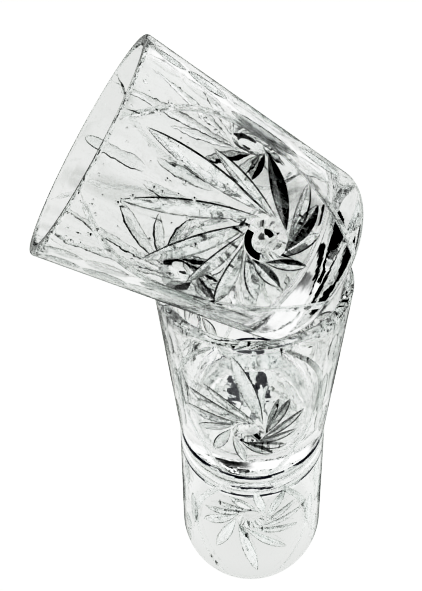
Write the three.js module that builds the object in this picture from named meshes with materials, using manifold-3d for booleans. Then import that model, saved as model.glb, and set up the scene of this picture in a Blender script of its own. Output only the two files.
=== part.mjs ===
// A stack of cut-crystal tumblers, modelled in millimetres with +Z up.
// One tumbler stands on its rim, the next stands upright on it, base to base, and the last lies
// tipped in the upright one's mouth. All of them are the same glass, turned three ways.
import * as THREE from "three";
import { mergeVertices } from "three/addons/utils/BufferGeometryUtils.js";
import Module from "manifold-3d";

const wasm = await Module();
wasm.setup();

// ---------- Driving dimensions ----------
const HEIGHT = 95;
const RIM_RADIUS = 41.1;
const BASE_RADIUS = 36.9; // where the straight flare of the outer wall meets the base plane
const BASE_CORNER = 5.5;
const RIM_WALL = 4;
const FLOOR_WALL = 5;
const FLOOR_THICKNESS = 15;
const FLOOR_CORNER = 5;
const RIM_ROUND = 1.2; // the rim's inner and outer edges; the flat between them is what it stands on
const PUNT_RADIUS = 30.5; // shallow dome under the base, which leaves a flat foot ring round it
const PUNT_DEPTH = 0.8;

// The cut pattern: pinwheel panels round the wall, with upright olive cuts between them.
const PANELS = 3;
const BLADES = 12;
const RING_RADIUS = 7; // the blades leave this circle along its tangents
const OVAL_HALF_WIDTH = 33; // the blades' tips lie on an oval that reaches further up than down
const OVAL_TOP = 49;
const OVAL_BOTTOM = 23;
const BLADE_HALF_WIDTH = 2.4;
const BLADE_DEPTH = 1.3;
const LENS_RADIUS = 4.6; // the round hollow in the middle of each pinwheel
const LENS_DEPTH = 0.9;
const OLIVE_HALF_WIDTH = 2.8;
const OLIVE_DEPTH = 1.2;
const OLIVE_COLUMN_OFFSET = 6; // degrees each side of the middle between two panels
const OLIVE_ROWS = [
  { low: 28, high: 50 },
  { low: 44, high: 69 },
];

// The stack: how high each pinwheel sits above its own base, and which way it faces.
const STACK_GAP = 0.3;
const STACK_AXIS_X = 19.6; // puts the middle of the whole stack's footprint on the origin
const INVERTED = { panelHeight: 32.5, spin: 96 };
const STANDING = { panelHeight: 40.5, spin: -98.4 };
const TIPPED = { panelHeight: 37, spin: -63.2 };
const TIP_ANGLE = 54.7; // degrees that the tipped glass leans from upright, towards -X
const TIPPED_BASE = { x: 20.5, z: 101.8 }; // its base centre, from the upright glass's base centre

const LATHE_SEGMENTS = 40;
const CORNER_STEPS = 3;

// ---------- Helpers ----------
const radians = THREE.MathUtils.degToRad;

function solidFrom(geometry) {
  const bare = geometry.clone();
  bare.deleteAttribute("normal");
  bare.deleteAttribute("uv");
  const merged = mergeVertices(bare, 1e-4);
  const vertProperties = new Float32Array(merged.getAttribute("position").array);
  const triVerts = new Uint32Array(merged.index.array);
  return new wasm.Manifold(new wasm.Mesh({ numProp: 3, vertProperties, triVerts }));
}

function geometryFrom(solid) {
  const mesh = solid.getMesh();
  const geometry = new THREE.BufferGeometry();
  geometry.setAttribute("position", new THREE.BufferAttribute(mesh.vertProperties, 3));
  geometry.setIndex(new THREE.BufferAttribute(mesh.triVerts, 1));
  const faceted = geometry.toNonIndexed();
  faceted.computeVertexNormals();
  return faceted;
}

// Points of an arc about (x, y), from one angle to another, in degrees.
function arc(x, y, radius, from, to) {
  const points = [];
  for (let step = 0; step <= CORNER_STEPS; step += 1) {
    const angle = radians(from + ((to - from) * step) / CORNER_STEPS);
    points.push(new THREE.Vector2(x + radius * Math.cos(angle), y + radius * Math.sin(angle)));
  }
  return points;
}

const outerRadius = (z) => BASE_RADIUS + ((RIM_RADIUS - BASE_RADIUS) * z) / HEIGHT;

// ---------- The blank: a turned glass before it is cut ----------
function blankProfile() {
  const outerCorner = outerRadius(BASE_CORNER) - BASE_CORNER;
  const innerRim = RIM_RADIUS - RIM_WALL;
  const innerFloor = outerRadius(FLOOR_THICKNESS) - FLOOR_WALL;
  const puntBall = (PUNT_RADIUS ** 2 + PUNT_DEPTH ** 2) / (2 * PUNT_DEPTH);
  const puntAngle = THREE.MathUtils.radToDeg(Math.asin(PUNT_RADIUS / puntBall));
  return [
    ...arc(0, PUNT_DEPTH - puntBall, puntBall, 90, 90 - puntAngle),
    ...arc(outerCorner, BASE_CORNER, BASE_CORNER, -90, 0),
    ...arc(RIM_RADIUS - RIM_ROUND, HEIGHT - RIM_ROUND, RIM_ROUND, 0, 90),
    ...arc(innerRim + RIM_ROUND, HEIGHT - RIM_ROUND, RIM_ROUND, 90, 180),
    ...arc(innerFloor - FLOOR_CORNER, FLOOR_THICKNESS + FLOOR_CORNER, FLOOR_CORNER, 0, -90),
    new THREE.Vector2(0, FLOOR_THICKNESS),
  ];
}

function blank() {
  const turned = new THREE.LatheGeometry(blankProfile(), LATHE_SEGMENTS);
  turned.rotateX(Math.PI / 2);
  return solidFrom(turned);
}

// ---------- The cuts ----------
// A point of the developed wall: across is measured round the wall from the panel's middle.
function onWall(across, up, panelAngle) {
  const angle = panelAngle + across / ((BASE_RADIUS + RIM_RADIUS) / 2);
  const radius = outerRadius(up);
  const out = new THREE.Vector3(Math.cos(angle), Math.sin(angle), 0);
  const point = out.clone().multiplyScalar(radius);
  point.z = up;
  out.z = (BASE_RADIUS - RIM_RADIUS) / HEIGHT;
  return { point, out: out.normalize() };
}

// A wheel cut: a spindle of diamond section along a straight line of the developed wall.
// Half of it is in the glass, and it runs out to a point at both ends.
function wheelCut(start, end, halfWidth, depth, panelAngle) {
  const RINGS = 3;
  const LIFT = 0.5; // the diamond's widest level, above the wall, as a share of its depth
  const positions = [];
  const at = (share) =>
    onWall(
      THREE.MathUtils.lerp(start.across, end.across, share),
      THREE.MathUtils.lerp(start.up, end.up, share),
      panelAngle,
    );
  const push = (vector) => positions.push(vector.x, vector.y, vector.z);
  push(at(0).point);
  for (let ring = 1; ring <= RINGS; ring += 1) {
    const share = ring / (RINGS + 1);
    const swell = Math.sin(Math.PI * share);
    const { point, out } = at(share);
    const along = at(share + 0.01).point.sub(at(share - 0.01).point).normalize();
    const side = new THREE.Vector3().crossVectors(out, along);
    const reach = halfWidth * swell * (1 + LIFT);
    const level = point.clone().addScaledVector(out, LIFT * depth * swell);
    push(level.clone().addScaledVector(side, reach));
    push(point.clone().addScaledVector(out, -depth * swell));
    push(level.clone().addScaledVector(side, -reach));
    push(level.clone().addScaledVector(out, depth * swell));
  }
  push(at(1).point);
  const last = 4 * RINGS + 1;
  const index = [];
  for (let corner = 0; corner < 4; corner += 1) {
    const next = (corner + 1) % 4;
    index.push(0, 1 + corner, 1 + next);
    for (let ring = 0; ring < RINGS - 1; ring += 1) {
      const here = 1 + 4 * ring;
      const beyond = here + 4;
      index.push(here + corner, beyond + next, here + next);
      index.push(here + corner, beyond + corner, beyond + next);
    }
    index.push(last, last - 4 + next, last - 4 + corner);
  }
  const geometry = new THREE.BufferGeometry();
  geometry.setAttribute("position", new THREE.Float32BufferAttribute(positions, 3));
  geometry.setIndex(index);
  return solidFrom(geometry);
}

// How far the oval lies from the pinwheel's middle in one direction.
function bladeReach(angle) {
  const lift = (OVAL_TOP - OVAL_BOTTOM) / 2;
  const halfHeight = (OVAL_TOP + OVAL_BOTTOM) / 2;
  const a = (Math.cos(angle) / OVAL_HALF_WIDTH) ** 2 + (Math.sin(angle) / halfHeight) ** 2;
  const b = (lift * Math.sin(angle)) / halfHeight ** 2;
  const c = (lift / halfHeight) ** 2 - 1;
  return (b + Math.sqrt(b * b - a * c)) / a;
}

function pinwheelCuts(panelHeight, panelAngle) {
  const cuts = [];
  for (let blade = 0; blade < BLADES; blade += 1) {
    const tipAngle = radians(94 + (360 / BLADES) * blade);
    const reach = bladeReach(tipAngle);
    const rootAngle = tipAngle - Math.acos(RING_RADIUS / reach);
    const root = {
      across: RING_RADIUS * Math.cos(rootAngle),
      up: panelHeight + RING_RADIUS * Math.sin(rootAngle),
    };
    const tip = {
      across: reach * Math.cos(tipAngle),
      up: panelHeight + reach * Math.sin(tipAngle),
    };
    cuts.push(wheelCut(root, tip, BLADE_HALF_WIDTH, BLADE_DEPTH, panelAngle));
  }
  const ballRadius = (LENS_RADIUS ** 2 + LENS_DEPTH ** 2) / (2 * LENS_DEPTH);
  const { point, out } = onWall(0, panelHeight, panelAngle);
  const middle = point.addScaledVector(out, ballRadius - LENS_DEPTH);
  const ball = new THREE.IcosahedronGeometry(ballRadius, 5);
  ball.translate(middle.x, middle.y, middle.z);
  cuts.push(solidFrom(ball));
  return cuts;
}

function oliveCuts(gapAngle) {
  const cuts = [];
  for (const side of [-1, 1]) {
    for (const row of OLIVE_ROWS) {
      const angle = gapAngle + radians(side * OLIVE_COLUMN_OFFSET);
      const low = { across: 0, up: row.low };
      const high = { across: 0, up: row.high };
      cuts.push(wheelCut(low, high, OLIVE_HALF_WIDTH, OLIVE_DEPTH, angle));
    }
  }
  return cuts;
}

// ---------- The glass ----------
function tumbler(name, placing) {
  let solid = blank();
  for (let panel = 0; panel < PANELS; panel += 1) {
    const panelAngle = radians(placing.spin + (360 / PANELS) * panel);
    const gapAngle = panelAngle + Math.PI / PANELS;
    const cuts = [...pinwheelCuts(placing.panelHeight, panelAngle), ...oliveCuts(gapAngle)];
    for (const cut of cuts) {
      solid = solid.subtract(cut);
    }
  }
  const crystal = new THREE.MeshStandardMaterial({
    color: 0xe6ebe8,
    roughness: 0.04,
    metalness: 0,
    transparent: true,
    opacity: 0.4,
  });
  const mesh = new THREE.Mesh(geometryFrom(solid), crystal);
  mesh.name = name;
  return mesh;
}

// ---------- The stack ----------
const stack = new THREE.Group();
stack.position.x = STACK_AXIS_X;

const inverted = tumbler("inverted_glass", INVERTED);
inverted.rotation.x = Math.PI;
inverted.position.z = HEIGHT;
stack.add(inverted);

const upright = new THREE.Group();
upright.position.z = HEIGHT + STACK_GAP;
stack.add(upright);
upright.add(tumbler("standing_glass", STANDING));

const tipped = tumbler("tipped_glass", TIPPED);
tipped.rotation.y = -radians(TIP_ANGLE);
tipped.position.set(TIPPED_BASE.x, 0, TIPPED_BASE.z);
upright.add(tipped);

export default stack;
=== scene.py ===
"""The looks of a stack of cut-crystal tumblers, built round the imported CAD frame. Metres, +Z up."""

import math
import random

import bpy
import numpy as np
from mathutils import Matrix, Vector


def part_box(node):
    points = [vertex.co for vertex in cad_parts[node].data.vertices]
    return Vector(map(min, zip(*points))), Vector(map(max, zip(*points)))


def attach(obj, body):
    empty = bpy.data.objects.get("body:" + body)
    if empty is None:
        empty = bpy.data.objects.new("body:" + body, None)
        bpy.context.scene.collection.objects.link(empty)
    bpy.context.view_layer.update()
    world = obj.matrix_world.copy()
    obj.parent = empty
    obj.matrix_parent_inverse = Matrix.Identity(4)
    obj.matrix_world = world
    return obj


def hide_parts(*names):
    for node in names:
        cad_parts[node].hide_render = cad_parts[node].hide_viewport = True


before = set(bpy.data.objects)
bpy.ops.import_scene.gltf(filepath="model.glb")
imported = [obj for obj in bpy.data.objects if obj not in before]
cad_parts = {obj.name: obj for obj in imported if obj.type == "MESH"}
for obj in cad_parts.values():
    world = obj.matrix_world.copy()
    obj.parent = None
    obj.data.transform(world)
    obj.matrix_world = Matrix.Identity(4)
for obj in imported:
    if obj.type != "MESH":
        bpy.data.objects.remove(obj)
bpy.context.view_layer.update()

MM = 0.001

# ---------- The glass, in millimetres, as the CAD has it ----------
low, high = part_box("standing_glass")
HEIGHT = (high.z - low.z) / MM
RIM_RADIUS = (high.x - low.x) / 2 / MM
STACK_X = (high.x + low.x) / 2 / MM
STANDING_Z = low.z / MM
BASE_RADIUS = 36.9
BASE_CORNER = 5.5
RIM_WALL = 4.0
FLOOR_WALL = 5.0
FLOOR_THICKNESS = 15.0
FLOOR_CORNER = 5.0
RIM_ROUND = 1.2
PUNT_RADIUS = 30.5
PUNT_DEPTH = 0.8
SEGMENTS = 288

TIP_ANGLE = math.radians(54.7)
TIPPED_BASE = Vector((20.5 + STACK_X, 0, 101.8 + STANDING_Z))


def outer_radius(z):
    return BASE_RADIUS + (RIM_RADIUS - BASE_RADIUS) * z / HEIGHT


# ---------- Material ----------
GLASS_IOR = 1.54
TINT_SCALE = 40
WAVE_SCALE = 90
WAVE_STRENGTH = 0.2
WAVE_HEIGHT = 0.0005  # metres
# The painted shade at grazing angles: where it starts and ends in Facing, and how dark it gets.
EDGE_START, EDGE_END, EDGE_LEVEL = 0.85, 0.99, 0.6
# PATCH_SCALE is the size of the mottling in the painted grey and dark reflections.
PATCH_SCALE = 350


def crystal(name, shade_low, shade_high, behind):
    """Clear glass with painted shade: a dark diffuse is mixed in at grazing angles, and anywhere as a
    painted dark reflection that varies between two levels.

    Where it is seen through other glass, only a share of that painted reflection is left.
    """
    material = bpy.data.materials.new(name)
    material.use_nodes = True
    nodes, links = material.node_tree.nodes, material.node_tree.links
    nodes.clear()
    out = nodes.new("ShaderNodeOutputMaterial")
    glass = nodes.new("ShaderNodeBsdfPrincipled")
    glass.inputs["Transmission Weight"].default_value = 1
    glass.inputs["Roughness"].default_value = 0.0
    glass.inputs["IOR"].default_value = GLASS_IOR
    place = nodes.new("ShaderNodeTexCoord")

    tint = nodes.new("ShaderNodeTexNoise")
    tint.inputs["Scale"].default_value = TINT_SCALE
    tint.inputs["Detail"].default_value = 2
    links.new(place.outputs["Object"], tint.inputs["Vector"])
    shades = nodes.new("ShaderNodeValToRGB")
    shades.color_ramp.elements[0].color = (0.985, 0.99, 0.988, 1)
    shades.color_ramp.elements[1].color = (1, 1, 1, 1)
    links.new(tint.outputs["Fac"], shades.inputs["Fac"])
    links.new(shades.outputs["Color"], glass.inputs["Base Color"])

    waves = nodes.new("ShaderNodeTexNoise")
    waves.inputs["Scale"].default_value = WAVE_SCALE
    waves.inputs["Detail"].default_value = 3
    links.new(place.outputs["Object"], waves.inputs["Vector"])
    bump = nodes.new("ShaderNodeBump")
    bump.inputs["Strength"].default_value = WAVE_STRENGTH
    bump.inputs["Distance"].default_value = WAVE_HEIGHT
    links.new(waves.outputs["Fac"], bump.inputs["Height"])
    links.new(bump.outputs["Normal"], glass.inputs["Normal"])

    # Painted shade at grazing angles: the glass is mixed with a dark diffuse there.
    painted_edge_facing = nodes.new("ShaderNodeLayerWeight")
    painted_edge_facing.inputs["Blend"].default_value = 0.5
    edge = nodes.new("ShaderNodeValToRGB")
    edge.color_ramp.elements[0].position = EDGE_START
    edge.color_ramp.elements[0].color = (0, 0, 0, 1)
    edge.color_ramp.elements[1].position = EDGE_END
    edge.color_ramp.elements[1].color = (EDGE_LEVEL, EDGE_LEVEL, EDGE_LEVEL, 1)
    links.new(painted_edge_facing.outputs["Facing"], edge.inputs["Fac"])
    # The dark diffuse that paints the shade at grazing angles and the painted dark reflections.
    dark = nodes.new("ShaderNodeBsdfDiffuse")
    dark.inputs["Color"].default_value = (0.02, 0.022, 0.022, 1)
    mix = nodes.new("ShaderNodeMixShader")
    # Painted dark reflections in mottled patches, weaker where seen through other glass.
    patches = nodes.new("ShaderNodeTexNoise")
    patches.inputs["Scale"].default_value = PATCH_SCALE
    links.new(place.outputs["Object"], patches.inputs["Vector"])
    shade = nodes.new("ShaderNodeMapRange")
    shade.inputs["From Min"].default_value = 0.4
    shade.inputs["From Max"].default_value = 0.6
    shade.inputs["To Min"].default_value = shade_low
    shade.inputs["To Max"].default_value = shade_high
    links.new(patches.outputs["Fac"], shade.inputs["Value"])
    path = nodes.new("ShaderNodeLightPath")
    nearness = nodes.new("ShaderNodeMapRange")
    nearness.inputs["To Min"].default_value = 1
    nearness.inputs["To Max"].default_value = behind
    links.new(path.outputs["Ray Depth"], nearness.inputs["Value"])
    near_shade = nodes.new("ShaderNodeMath")
    near_shade.operation = "MULTIPLY"
    links.new(shade.outputs["Result"], near_shade.inputs[0])
    links.new(nearness.outputs["Result"], near_shade.inputs[1])
    darkest = nodes.new("ShaderNodeMath")
    darkest.operation = "MAXIMUM"
    links.new(edge.outputs["Color"], darkest.inputs[0])
    links.new(near_shade.outputs[0], darkest.inputs[1])
    links.new(darkest.outputs[0], mix.inputs["Fac"])
    links.new(glass.outputs[0], mix.inputs[1])
    links.new(dark.outputs[0], mix.inputs[2])
    links.new(mix.outputs[0], out.inputs["Surface"])
    return material


# Real crystal is clear all over. The two darker materials are painted reflections: they stand in for dark
# things it would reflect. All three paint shade at grazing angles.
CRYSTAL = crystal("crystal", 0, 0, 1)
GREY_REFLECTION_PAINT = crystal("painted_grey_reflection_crystal", 0.4, 1.0, 0.4)
DARK = crystal("painted_dark_reflection_crystal", 0.9, 1.0, 0.95)


# ---------- Turning the blank ----------
def arc(x, y, radius, start, end, steps):
    angles = np.radians(np.linspace(start, end, steps + 1))
    return [(x + radius * math.cos(a), y + radius * math.sin(a)) for a in angles]


def line(start, end, steps):
    shares = np.linspace(0, 1, steps + 1)[1:-1]
    return [tuple(np.array(start) * (1 - s) + np.array(end) * s) for s in shares]


def blank_profile():
    corner = outer_radius(BASE_CORNER) - BASE_CORNER
    inner_rim = RIM_RADIUS - RIM_WALL
    inner_floor = outer_radius(FLOOR_THICKNESS) - FLOOR_WALL
    foot = arc(corner, BASE_CORNER, BASE_CORNER, -90, 0, 12)
    lip_out = arc(RIM_RADIUS - RIM_ROUND, HEIGHT - RIM_ROUND, RIM_ROUND, 0, 90, 6)
    lip_in = arc(inner_rim + RIM_ROUND, HEIGHT - RIM_ROUND, RIM_ROUND, 90, 180, 6)
    bowl = arc(inner_floor - FLOOR_CORNER, FLOOR_THICKNESS + FLOOR_CORNER, FLOOR_CORNER, 0, -90, 14)
    punt_ball = (PUNT_RADIUS**2 + PUNT_DEPTH**2) / (2 * PUNT_DEPTH)
    punt_angle = math.degrees(math.asin(PUNT_RADIUS / punt_ball))
    punt = arc(0, PUNT_DEPTH - punt_ball, punt_ball, 90, 90 - punt_angle, 20)
    return [
        (0, PUNT_DEPTH),
        *punt[1:],
        *foot,
        *line(foot[-1], lip_out[0], 18),
        *lip_out,
        *lip_in,
        *line(lip_in[-1], bowl[0], 14),
        *bowl,
        *line(bowl[-1], (0, FLOOR_THICKNESS), 6),
        (0, FLOOR_THICKNESS),
    ]


def lathe(profile, segments):
    """Vertices and faces of a profile that starts and ends on the axis, turned about Z."""
    ring = 2 * np.pi * np.arange(segments) / segments
    vertices = [(0, 0, profile[0][1])]
    for radius, z in profile[1:-1]:
        vertices += [(radius * math.cos(a), radius * math.sin(a), z) for a in ring]
    vertices.append((0, 0, profile[-1][1]))
    rings = len(profile) - 2
    faces = []
    for s in range(segments):
        t = (s + 1) % segments
        faces.append((0, 1 + t, 1 + s))
        for r in range(rings - 1):
            here, above = 1 + r * segments, 1 + (r + 1) * segments
            faces.append((here + s, here + t, above + t, above + s))
        top = 1 + (rings - 1) * segments
        faces.append((top + s, top + t, len(vertices) - 1))
    return vertices, faces


# The clear crystal, then the painted grey and the painted dark reflection.
CLEAR_AND_PAINTED = [CRYSTAL, GREY_REFLECTION_PAINT, DARK]
GREY_PAINT_SLOT, DARK_PAINT_SLOT = 1, 2  # their places in the list


def mesh_object(name, vertices, faces, reflection_paint=None):
    """A mesh of the clear crystal, except the faces whose numbers are given with the slot of a painted
    reflection.
    """
    mesh = bpy.data.meshes.new(name)
    mesh.from_pydata([tuple(v) for v in vertices], [], faces)
    mesh.update()
    for glass_or_paint in CLEAR_AND_PAINTED:
        mesh.materials.append(glass_or_paint)
    for number, glass_or_paint in (reflection_paint or {}).items():
        mesh.polygons[number].material_index = glass_or_paint
    obj = bpy.data.objects.new(name, mesh)
    bpy.context.scene.collection.objects.link(obj)
    return obj


def discard(obj):
    mesh = obj.data
    bpy.data.objects.remove(obj)
    bpy.data.meshes.remove(mesh)


def combine(target, tool, operation):
    """Joins or cuts target with tool, and keeps the result in target."""
    modifier = target.modifiers.new("cut", "BOOLEAN")
    modifier.operation = operation
    modifier.solver = "MANIFOLD"
    modifier.object = tool
    graph = bpy.context.evaluated_depsgraph_get()
    result = bpy.data.meshes.new_from_object(target.evaluated_get(graph))
    target.modifiers.remove(modifier)
    old = target.data
    target.data = result
    bpy.data.meshes.remove(old)


# ---------- Wheel cuts ----------
def on_wall(across, up):
    """A point of the developed wall, and the way out of the glass there."""
    angle = across / ((BASE_RADIUS + RIM_RADIUS) / 2)
    radius = outer_radius(up)
    outward = np.array([math.cos(angle), math.sin(angle), 0])
    slope = (BASE_RADIUS - RIM_RADIUS) / HEIGHT
    out = outward + np.array([0, 0, slope])
    return outward * radius + np.array([0, 0, up]), out / np.linalg.norm(out)


LIFT = 1.2  # how far above the surface a cutter reaches
SHOULDER = 0.24  # the share of a cut's depth that is its shoulder; a blade's or olive's shoulders carry a painted reflection
SHOULDER_SLOPE = 1.9  # how far a shoulder runs sideways for its depth


def trough(depth, half, floor):
    """A cut's section as (side, height) points: a shoulder, the cut's floor and the other shoulder."""
    bite = max(depth, 0.04)
    raised = bite - depth
    step = SHOULDER * bite
    side = half(bite - step)
    flare = side + SHOULDER_SLOPE * (LIFT + step)
    inner = [(x * side, raised - step - y * (bite - step)) for x, y in floor]
    return [(-flare, LIFT + raised), *inner, (flare, LIFT + raised)]


V_FLOOR = [(-1, 0), (0, 1), (1, 0)]
ROUND_FLOOR = [(x, 1 - x * x) for x in np.linspace(-1, 1, 9)]


# The painted grey reflection on a cut's two shoulders, by the side of the section's outline.
RIGHT_SHOULDER = 0
V_SHOULDERS = {RIGHT_SHOULDER: GREY_PAINT_SLOT, 3: GREY_PAINT_SLOT}
ROUND_SHOULDERS = {RIGHT_SHOULDER: GREY_PAINT_SLOT, len(ROUND_FLOOR): GREY_PAINT_SLOT}
RIGHT_FLANK, LEFT_FLANK = 1, 2  # the two sides of a V cut's floor
CUT_STEPS = 34


def shoulder_paint(node, shoulders):
    """The right shoulders of the two upper glasses' cuts get the painted dark reflection, for crisp
    outlines; the other shoulders keep the painted grey one.
    """
    reflection_paint = dict(shoulders)
    if node != "inverted_glass":
        reflection_paint[RIGHT_SHOULDER] = DARK_PAINT_SLOT
    return reflection_paint


def v_section(depth, spread):
    """A mitre wheel's cut."""
    return trough(depth, lambda sag: sag * spread, V_FLOOR)


def round_section(depth, wheel):
    """The cut of an olive wheel, whose edge has a given radius."""
    return trough(depth, lambda sag: math.sqrt(2 * wheel * sag), ROUND_FLOOR)


OVERRUN = 0.08  # how far a cutter runs on past each end of its path, as a share of the path
NUDGE = 0.002


def sweep_cut(path, surface, depth_at, section, steps, reflection_paint=None):
    """A closed cutter with the section's outline, along a path on the surface.

    The painted reflections are given by the side of the outline, and returned by the number of the face.

    A known fault: these faces are wound inside out. The boolean then leaves
    the wall whole and puts the cut's floor inside the glass as a surface facing the wrong way, so
    blades, olives and borders are not cut into the mesh. Reversing every face here mends the solid,
    and changes the looks, which were judged without it.
    """
    reflection_paint = reflection_paint or {}
    shares = np.linspace(-OVERRUN, 1 + OVERRUN, steps)
    vertices = []
    for share in shares:
        point, out = surface(*path(share))
        ahead, _ = surface(*path(share + NUDGE))
        behind, _ = surface(*path(share - NUDGE))
        along = ahead - behind
        side = np.cross(out, along / np.linalg.norm(along))
        side /= np.linalg.norm(side)
        outline = section(depth_at(share))
        vertices += [point + side * x + out * h for x, h in outline]
    count = len(outline)
    faces, painted_faces = [], {}
    for row in range(steps - 1):
        for k in range(count):
            a, b = row * count + k, row * count + (k + 1) % count
            if k in reflection_paint:
                painted_faces[len(faces)] = reflection_paint[k]
            faces.append((a, a + count, b + count, b))
    faces.append(tuple(range(count)))
    faces.append(tuple(reversed(range((steps - 1) * count, steps * count))))
    return vertices, faces, painted_faces


def straight(start, end):
    start, end = np.array(start, float), np.array(end, float)
    return lambda share: start + (end - start) * share


def bowed(depth):
    """A wheel's round edge bites deepest in the middle of its cut."""
    return lambda share: depth * (1 - (2 * share - 1) ** 2)


# ---------- The pattern ----------
RING_RADIUS = 7.3

# One row for each blade: the direction of its tip in degrees, its reach and its half width in millimetres.
BLADES = {
    "inverted_glass": [
        (94, 53.5, 3.2), (119, 42.0, 2.6), (145, 33.5, 2.7), (172, 32.0, 2.4), (196, 25.0, 2.6),
        (231, 27.5, 2.8), (267, 25.0, 2.4), (303, 21.5, 3.0), (334, 21.0, 2.4), (5, 26.5, 2.5),
        (31, 32.0, 3.2), (62, 40.5, 3.0), (88, 19.5, 1.3),
    ],
    "standing_glass": [
        (97, 51.5, 3.4), (124, 34.0, 2.4), (146, 34.0, 3.3), (174, 32.0, 3.0), (196, 25.5, 2.4),
        (231, 26.0, 2.6), (268, 25.0, 2.2), (302, 22.0, 2.8), (322, 23.0, 2.8), (349, 23.0, 2.5),
        (20, 26.5, 2.8), (51, 27.0, 2.6), (63, 26.0, 1.4),
    ],
    "tipped_glass": [
        (100, 49.0, 2.8), (127, 41.0, 3.4), (150, 30.0, 2.4), (179, 31.0, 2.8), (206, 24.0, 2.4),
        (229, 19.0, 2.4), (266, 18.5, 2.2), (303, 21.0, 2.2), (327, 24.5, 2.9), (344, 28.0, 2.5),
        (21, 29.5, 3.2), (59, 35.0, 2.4), (76, 53.0, 3.2),
    ],
}
BLADE_SPREAD = 2.5
# The flanks that have the painted dark reflection, by the direction of the blade. They follow the photo's
# one view.
DARK_FLANKS = {
    "inverted_glass": {},
    "standing_glass": {302: LEFT_FLANK},
    "tipped_glass": {229: LEFT_FLANK, 266: LEFT_FLANK, 327: RIGHT_FLANK, 21: RIGHT_FLANK},
}


def leaf(depth):
    """A blade is deepest a little nearer its tip than its root."""
    early, late = 1.15, 0.9
    peak = early / (early + late)
    most = peak**early * (1 - peak) ** late

    def depth_at(share):
        if share <= 0 or share >= 1:
            return -0.6
        return depth * (share**early * (1 - share) ** late / most * 1.25 - 0.25)

    return depth_at


def pinwheel(node, panel_height):
    cuts = []
    for angle, reach, half_width in BLADES[node]:
        tip = math.radians(angle)
        root = tip - math.acos(RING_RADIUS / reach)
        start = (RING_RADIUS * math.cos(root), panel_height + RING_RADIUS * math.sin(root))
        end = (reach * math.cos(tip), panel_height + reach * math.sin(tip))
        section = lambda d: v_section(d, BLADE_SPREAD)
        depth = leaf(half_width / (BLADE_SPREAD * (1 - SHOULDER) + SHOULDER_SLOPE * SHOULDER))
        # Painted reflections: grey on the shoulders, dark on the upper glasses' right shoulders and on the
        # flanks listed above.
        reflection_paint = shoulder_paint(node, V_SHOULDERS)
        if angle in DARK_FLANKS[node]:
            reflection_paint[DARK_FLANKS[node][angle]] = DARK_PAINT_SLOT
        cuts.append(sweep_cut(straight(start, end), on_wall, depth, section, CUT_STEPS, reflection_paint))
    return cuts


BUTTON_RADIUS = 4.6
BEVEL_RADIUS = 7.7
BEVEL_SINK = 0.25  # the wall falls away to the sides, so the wheel goes in a little further
BEVEL_DEPTH = 1.3
BUTTON_DEPTH = 1.55
BUTTON_SEGMENTS = 72


# Where the tipped glass's button has the painted dark reflection: (ring of faces, first and last degree
# round it).
DARK_ARCS = [(8, 85, 190), (3, -45, 25), (4, -45, 30), (5, -40, 30)]


def button(node, panel_height):
    """The hollow in the middle of a pinwheel: a bevel, and inside it a shallow round button."""
    floor_depth, middle_depth = BEVEL_DEPTH + BEVEL_SINK, BUTTON_DEPTH + BEVEL_SINK
    sag = middle_depth - floor_depth
    ball = (BUTTON_RADIUS**2 + sag**2) / (2 * sag)
    span = math.degrees(math.asin(BUTTON_RADIUS / ball))
    bowl = arc(0, ball - middle_depth, ball, -90, -90 + span, 8)
    slope = floor_depth / (BEVEL_RADIUS - BUTTON_RADIUS)
    wide = (BEVEL_RADIUS + LIFT / slope, LIFT)
    profile = [(0, -middle_depth), *bowl[1:], wide, (0, LIFT)]
    vertices, faces = lathe(profile, BUTTON_SEGMENTS)
    step = 360 // BUTTON_SEGMENTS
    reflection_paint = {}
    # Painted dark reflection on arcs of the tipped glass's button.
    if node == "tipped_glass":
        for ring, first, last in DARK_ARCS:
            for degrees in range(first, last, step):
                reflection_paint[degrees % 360 // step * (len(profile) - 1) + ring] = DARK_PAINT_SLOT
    point, out = on_wall(0, panel_height)
    turn = Vector(out).to_track_quat("Z", "Y").to_matrix()
    return [np.array(turn @ Vector(v)) + point for v in vertices], faces, reflection_paint


# The olives between two panels: (degrees round from the panel's middle, bottom, top, depth).
OLIVES = [(51, 35, 63, 1.0), (69, 35, 63, 1.0), (60, 65, 80, 1.3), (60, 14, 34, 1.1), (60, 81, 92, 0.7)]
OLIVE_WHEEL = 4.2


def olives(node):
    cuts = []
    # Painted grey reflection on the olives' shoulders, dark on the upper glasses' right ones.
    reflection_paint = shoulder_paint(node, ROUND_SHOULDERS)
    reach = (BASE_RADIUS + RIM_RADIUS) / 2
    for degrees, bottom, top, depth in OLIVES:
        across = reach * math.radians(degrees)
        section = lambda d: round_section(d, OLIVE_WHEEL)
        path = straight((across, bottom), (across, top))
        cuts.append(sweep_cut(path, on_wall, bowed(depth), section, CUT_STEPS, reflection_paint))
    return cuts


# A panel's right border, from top to foot, in the developed wall.
BORDER = [(14, 91), (23, 80), (29, 70), (32.5, 57), (30, 38), (20, 16), (10, 3)]
BORDER_SPREAD = 2.6
BORDER_STEPS = 70


def border_point(side):
    """The border's smooth path through its points, from the top of a panel to its foot."""
    heights = [y for _, y in reversed(BORDER)]
    acrosses = [x for x, _ in reversed(BORDER)]
    fit = np.polyfit(heights, acrosses, 4)

    def path(share):
        height = BORDER[0][1] + (BORDER[-1][1] - BORDER[0][1]) * share
        return side * np.polyval(fit, height), height

    return path


def borders():
    cuts = []
    for side in (-1, 1):
        section = lambda d: v_section(d, BORDER_SPREAD)
        depth = lambda share: 0.35 + 0.3 * min(1, 2.5 * share) if 0 < share < 1 else 0
        cuts.append(sweep_cut(border_point(side), on_wall, depth, section, BORDER_STEPS))
    return cuts


def union_of(name, cuts):
    whole = mesh_object(name, *cuts[0])
    for cut in cuts[1:]:
        tool = mesh_object("tool", *cut)
        combine(whole, tool, "UNION")
        discard(tool)
    return whole


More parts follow.
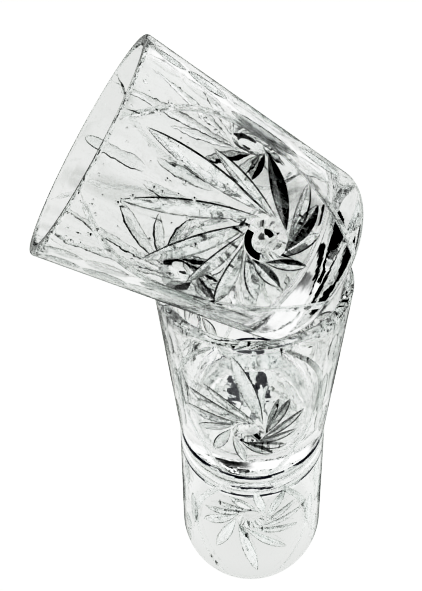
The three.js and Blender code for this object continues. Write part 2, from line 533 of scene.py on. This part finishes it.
DROPLETS = 70
DROPLET_SEED = 11
DROPLET_SEGMENTS = 12


def droplets(count):
    """Drops of water at random places on the wall, most of them near the mouth."""
    chance = random.Random(DROPLET_SEED)
    drops = []
    for _ in range(count):
        across = chance.uniform(-27, 30)
        up = 93 - 36 * chance.random() ** 1.4
        size = 0.36 + 0.5 * chance.random() ** 3
        stretch = chance.uniform(1, 1.3) if chance.random() < 0.85 else chance.uniform(1.8, 2.6)
        point, out = on_wall(across, up)
        turn = Vector(out).to_track_quat("Z", "Y").to_matrix()
        shape = Matrix.Diagonal((size, size * stretch, size * 0.55))
        vertices, faces = lathe([(0, -1), *arc(0, 0, 1, -90, 90, 8)[1:-1], (0, 1)], DROPLET_SEGMENTS)
        # The faces of each drop's first segment, a slice from end to end, get the painted grey reflection.
        painted_slice = {number: GREY_PAINT_SLOT for number in range(len(faces) // DROPLET_SEGMENTS)}
        drops.append(([np.array(turn @ shape @ Vector(v)) + point for v in vertices], faces, painted_slice))
    return union_of("droplets", drops)


PANELS = 3
SHARP_ANGLE = math.radians(12)


def tumbler(node, panel_height, spin, to_row):
    name = node.replace("_glass", "_tumbler")
    glass = mesh_object(name, *lathe(blank_profile(), SEGMENTS))
    cuts = [*pinwheel(node, panel_height), button(node, panel_height), *borders(), *olives(node)]
    panel = union_of("panel", cuts)
    for k in range(PANELS):
        panel.rotation_euler = (0, 0, spin + 2 * math.pi * k / PANELS)
        bpy.context.view_layer.update()
        combine(glass, panel, "DIFFERENCE")
    discard(panel)
    if node == "tipped_glass":
        wet = droplets(DROPLETS)
        wet.rotation_euler = (0, 0, spin)
        bpy.context.view_layer.update()
        combine(glass, wet, "UNION")
        discard(wet)
    glass.data.transform(Matrix.Scale(MM, 4) @ to_row)
    for polygon in glass.data.polygons:
        polygon.use_smooth = True
    glass.data.set_sharp_from_angle(angle=SHARP_ANGLE)
    return glass


# ---------- Building the stack ----------
upright = Matrix.Translation((STACK_X, 0, STANDING_Z))
inverted = Matrix.Translation((STACK_X, 0, HEIGHT)) @ Matrix.Rotation(math.pi, 4, "X")
tipped = Matrix.Translation(TIPPED_BASE) @ Matrix.Rotation(-TIP_ANGLE, 4, "Y")
# For each glass: its node, the height of its panels' middles, the turn of the front one, and its place.
PLACES = [
    ("inverted_glass", 32.5, math.radians(96), inverted),
    ("standing_glass", 40.5, math.radians(-98.4), upright),
    ("tipped_glass", 37.0, math.radians(-63.2), tipped),
]
for node, panel_height, spin, to_row in PLACES:
    piece = tumbler(node, panel_height, spin, to_row)
    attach(piece, node)
    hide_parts(node)


# ---------- Stage ----------
SEEN_WHITE = 1.02  # what the camera sees of the table and the sky


def glow(name, colour, strength, seen_strength):
    """A plain emitter that shows the camera one brightness and the glass another."""
    material = bpy.data.materials.new(name)
    material.use_nodes = True
    nodes, links = material.node_tree.nodes, material.node_tree.links
    nodes.clear()
    out = nodes.new("ShaderNodeOutputMaterial")
    light = nodes.new("ShaderNodeEmission")
    light.inputs["Color"].default_value = (*colour, 1)
    path = nodes.new("ShaderNodeLightPath")
    level = nodes.new("ShaderNodeMapRange")
    level.name = "level"
    level.inputs["To Min"].default_value = strength
    level.inputs["To Max"].default_value = seen_strength
    links.new(path.outputs["Is Camera Ray"], level.inputs["Value"])
    links.new(level.outputs["Result"], light.inputs["Strength"])
    links.new(light.outputs[0], out.inputs["Surface"])
    return material


# The glass sees the table with a painted shadow under the stack's foot and a painted pool of light in a
# ring round it.
# Each pair is a distance from the stack's axis in metres and a strength.
RING = [(0.0, 0.76), (0.036, 0.77), (0.05, 0.9), (0.11, 0.9), (0.2, 0.79)]
floor = mesh_object("floor", [(-3, -3, 0), (3, -3, 0), (3, 3, 0), (-3, 3, 0)], [(0, 1, 2, 3)])
floor.data.materials.clear()
floor.data.materials.append(glow("light_table", (0.995, 1.0, 0.992), RING[-1][1], SEEN_WHITE))
table = floor.data.materials[0].node_tree
spot = table.nodes.new("ShaderNodeTexCoord")
centred = table.nodes.new("ShaderNodeVectorMath")
centred.operation = "SUBTRACT"
centred.inputs[1].default_value = (STACK_X * MM, 0, 0)
table.links.new(spot.outputs["Object"], centred.inputs[0])
distance = table.nodes.new("ShaderNodeVectorMath")
distance.operation = "LENGTH"
table.links.new(centred.outputs["Vector"], distance.inputs[0])
reach = table.nodes.new("ShaderNodeMapRange")
reach.inputs["From Max"].default_value = RING[-1][0]
table.links.new(distance.outputs["Value"], reach.inputs["Value"])
blend = table.nodes.new("ShaderNodeValToRGB")
table.links.new(reach.outputs["Result"], blend.inputs["Fac"])
for number, (radius, strength) in enumerate(RING):
    share = radius / RING[-1][0]
    stops = blend.color_ramp.elements
    stop = stops.new(share) if 0 < number < len(RING) - 1 else stops[0 if number == 0 else -1]
    stop.position = share
    stop.color = (strength, strength, strength, 1)
seen = next(n for n in table.nodes if n.name == "level")
table.links.new(blend.outputs["Color"], seen.inputs["To Min"])


def flag(name, corners, colour=(0, 0, 0), strength=0.0):
    """A studio flag: a dark card that only the glass sees. Corners in millimetres from the stack's foot."""
    points = [((STACK_X + x) * MM, y * MM, z * MM) for x, y, z in corners]
    card = mesh_object(name, points, [tuple(range(len(points)))])
    card.data.materials.clear()
    card.data.materials.append(glow(name, colour, strength, strength))
    card.visible_camera = False
    card.visible_diffuse = False
    card.visible_shadow = False


def across_x(x, y0, y1, z0, z1):
    return [(x, y0, z0), (x, y1, z0), (x, y1, z1), (x, y0, z1)]


def across_y(y, x0, x1, z0, z1):
    return [(x0, y, z0), (x1, y, z0), (x1, y, z1), (x0, y, z1)]


def across_z(z, x0, x1, y0, y1):
    return [(x0, y0, z), (x1, y0, z), (x1, y1, z), (x0, y1, z)]


# Placed so that the photo's camera sees them, bent by the glass, about where the photo is dark.
flag("flag_left", across_x(-160, 140, 240, 130, 210))
flag("flag_behind_low", across_z(1, -20, 26, 68, 102), (0.03, 0.03, 0.05), 1.0)
flag("flag_behind", across_y(60, 6, 18, 156, 168))
flag("flag_behind_right", across_y(60, 54, 66, 162, 180))
flag("flag_right", across_x(90, -54, -30, 258, 282))

# The soft boxes round the studio: bright panels with dark slits between them, which only the glass sees.
BOXES_ROUND = 4
BOXES_ROUND_START = 0.04
BOXES_LEAN = 3.1
BOXES_UP = 6.2
BOXES_UP_START = 2.46
SKY_LEVEL, SKY_CONTRAST, SKY_DARKEST = 1.35, 1.8, 0.05
SKY_BRIGHTEST, SKY_BRIGHTENING = 0.98, 0.15  # at the horizon, and what each radian up adds

world = bpy.data.worlds.new("studio")
bpy.context.scene.world = world
world.use_nodes = True
sky_nodes, sky_links = world.node_tree.nodes, world.node_tree.links


def maths(operation, *inputs):
    """A Math node of the world on numbers or sockets, and its output."""
    node = sky_nodes.new("ShaderNodeMath")
    node.operation = operation
    for socket, value in zip(node.inputs, inputs):
        if isinstance(value, (int, float)):
            socket.default_value = value
        else:
            sky_links.new(value, socket)
    return node.outputs[0]


coordinates = sky_nodes.new("ShaderNodeTexCoord")
split = sky_nodes.new("ShaderNodeSeparateXYZ")
sky_links.new(coordinates.outputs["Generated"], split.inputs[0])
bearing = maths("ARCTAN2", split.outputs["X"], split.outputs["Y"])
elevation = maths("ARCSINE", split.outputs["Z"])
lean = maths("MULTIPLY_ADD", elevation, BOXES_LEAN, BOXES_ROUND_START)
columns = maths("SINE", maths("MULTIPLY_ADD", bearing, BOXES_ROUND, lean))
rows = maths("SINE", maths("MULTIPLY_ADD", elevation, BOXES_UP, BOXES_UP_START))
level = maths("MULTIPLY_ADD", maths("MULTIPLY", columns, rows), SKY_CONTRAST, SKY_LEVEL)
brightest = maths("MULTIPLY_ADD", elevation, SKY_BRIGHTENING, SKY_BRIGHTEST)
level = maths("MINIMUM", maths("MAXIMUM", level, SKY_DARKEST), brightest)
path = sky_nodes.new("ShaderNodeLightPath")
mix = sky_nodes.new("ShaderNodeMix")
mix.data_type = "RGBA"
sky_links.new(path.outputs["Is Camera Ray"], mix.inputs["Factor"])
sky_links.new(level, mix.inputs["A"])
mix.inputs["B"].default_value = (SEEN_WHITE, SEEN_WHITE, SEEN_WHITE, 1)
sky_links.new(mix.outputs["Result"], sky_nodes["Background"].inputs["Color"])

# ---------- Camera ----------
IMAGE_LONG_SIDE = 591
SENSOR = 36
FOCAL_PIXELS = 552.74
camera = bpy.data.objects.new("camera", bpy.data.cameras.new("camera"))
bpy.context.scene.collection.objects.link(camera)
camera.data.sensor_width = SENSOR
camera.data.lens = FOCAL_PIXELS * SENSOR / IMAGE_LONG_SIDE
camera.data.shift_x = -0.0906
camera.data.shift_y = -0.1282
camera.data.clip_start = 0.01
YAW, PITCH, ROLL = 0.1242, 0.6273, -0.0232
CAMERA_PLACE = (0.00214, -0.17066, 0.34063)
forward = Vector((math.sin(YAW) * math.cos(PITCH), math.cos(YAW) * math.cos(PITCH), -math.sin(PITCH)))
right = Vector((math.cos(YAW), -math.sin(YAW), 0))
down = forward.cross(right)
rolled_right = right * math.cos(ROLL) + down * math.sin(ROLL)
rolled_down = down * math.cos(ROLL) - right * math.sin(ROLL)
turn = Matrix((rolled_right, -rolled_down, -forward)).transposed()
camera.matrix_world = Matrix.Translation(CAMERA_PLACE) @ turn.to_4x4()
bpy.context.scene.camera = camera

# ---------- Picture ----------
scene = bpy.context.scene
scene.cycles.use_denoising = True
scene.cycles.max_bounces = 120
scene.cycles.transmission_bounces = 100
scene.cycles.glossy_bounces = 100
scene.cycles.caustics_reflective = False
scene.cycles.caustics_refractive = True
scene.view_settings.view_transform = "Standard"
scene.view_settings.use_curve_mapping = True
contrast = scene.view_settings.curve_mapping
CURVE = [(0.3, 0.03), (0.5, 0.18), (0.65, 0.48), (0.8, 0.81), (0.93, 0.96)]
for x, y in CURVE:
    contrast.curves[3].points.new(x, y)
contrast.update()
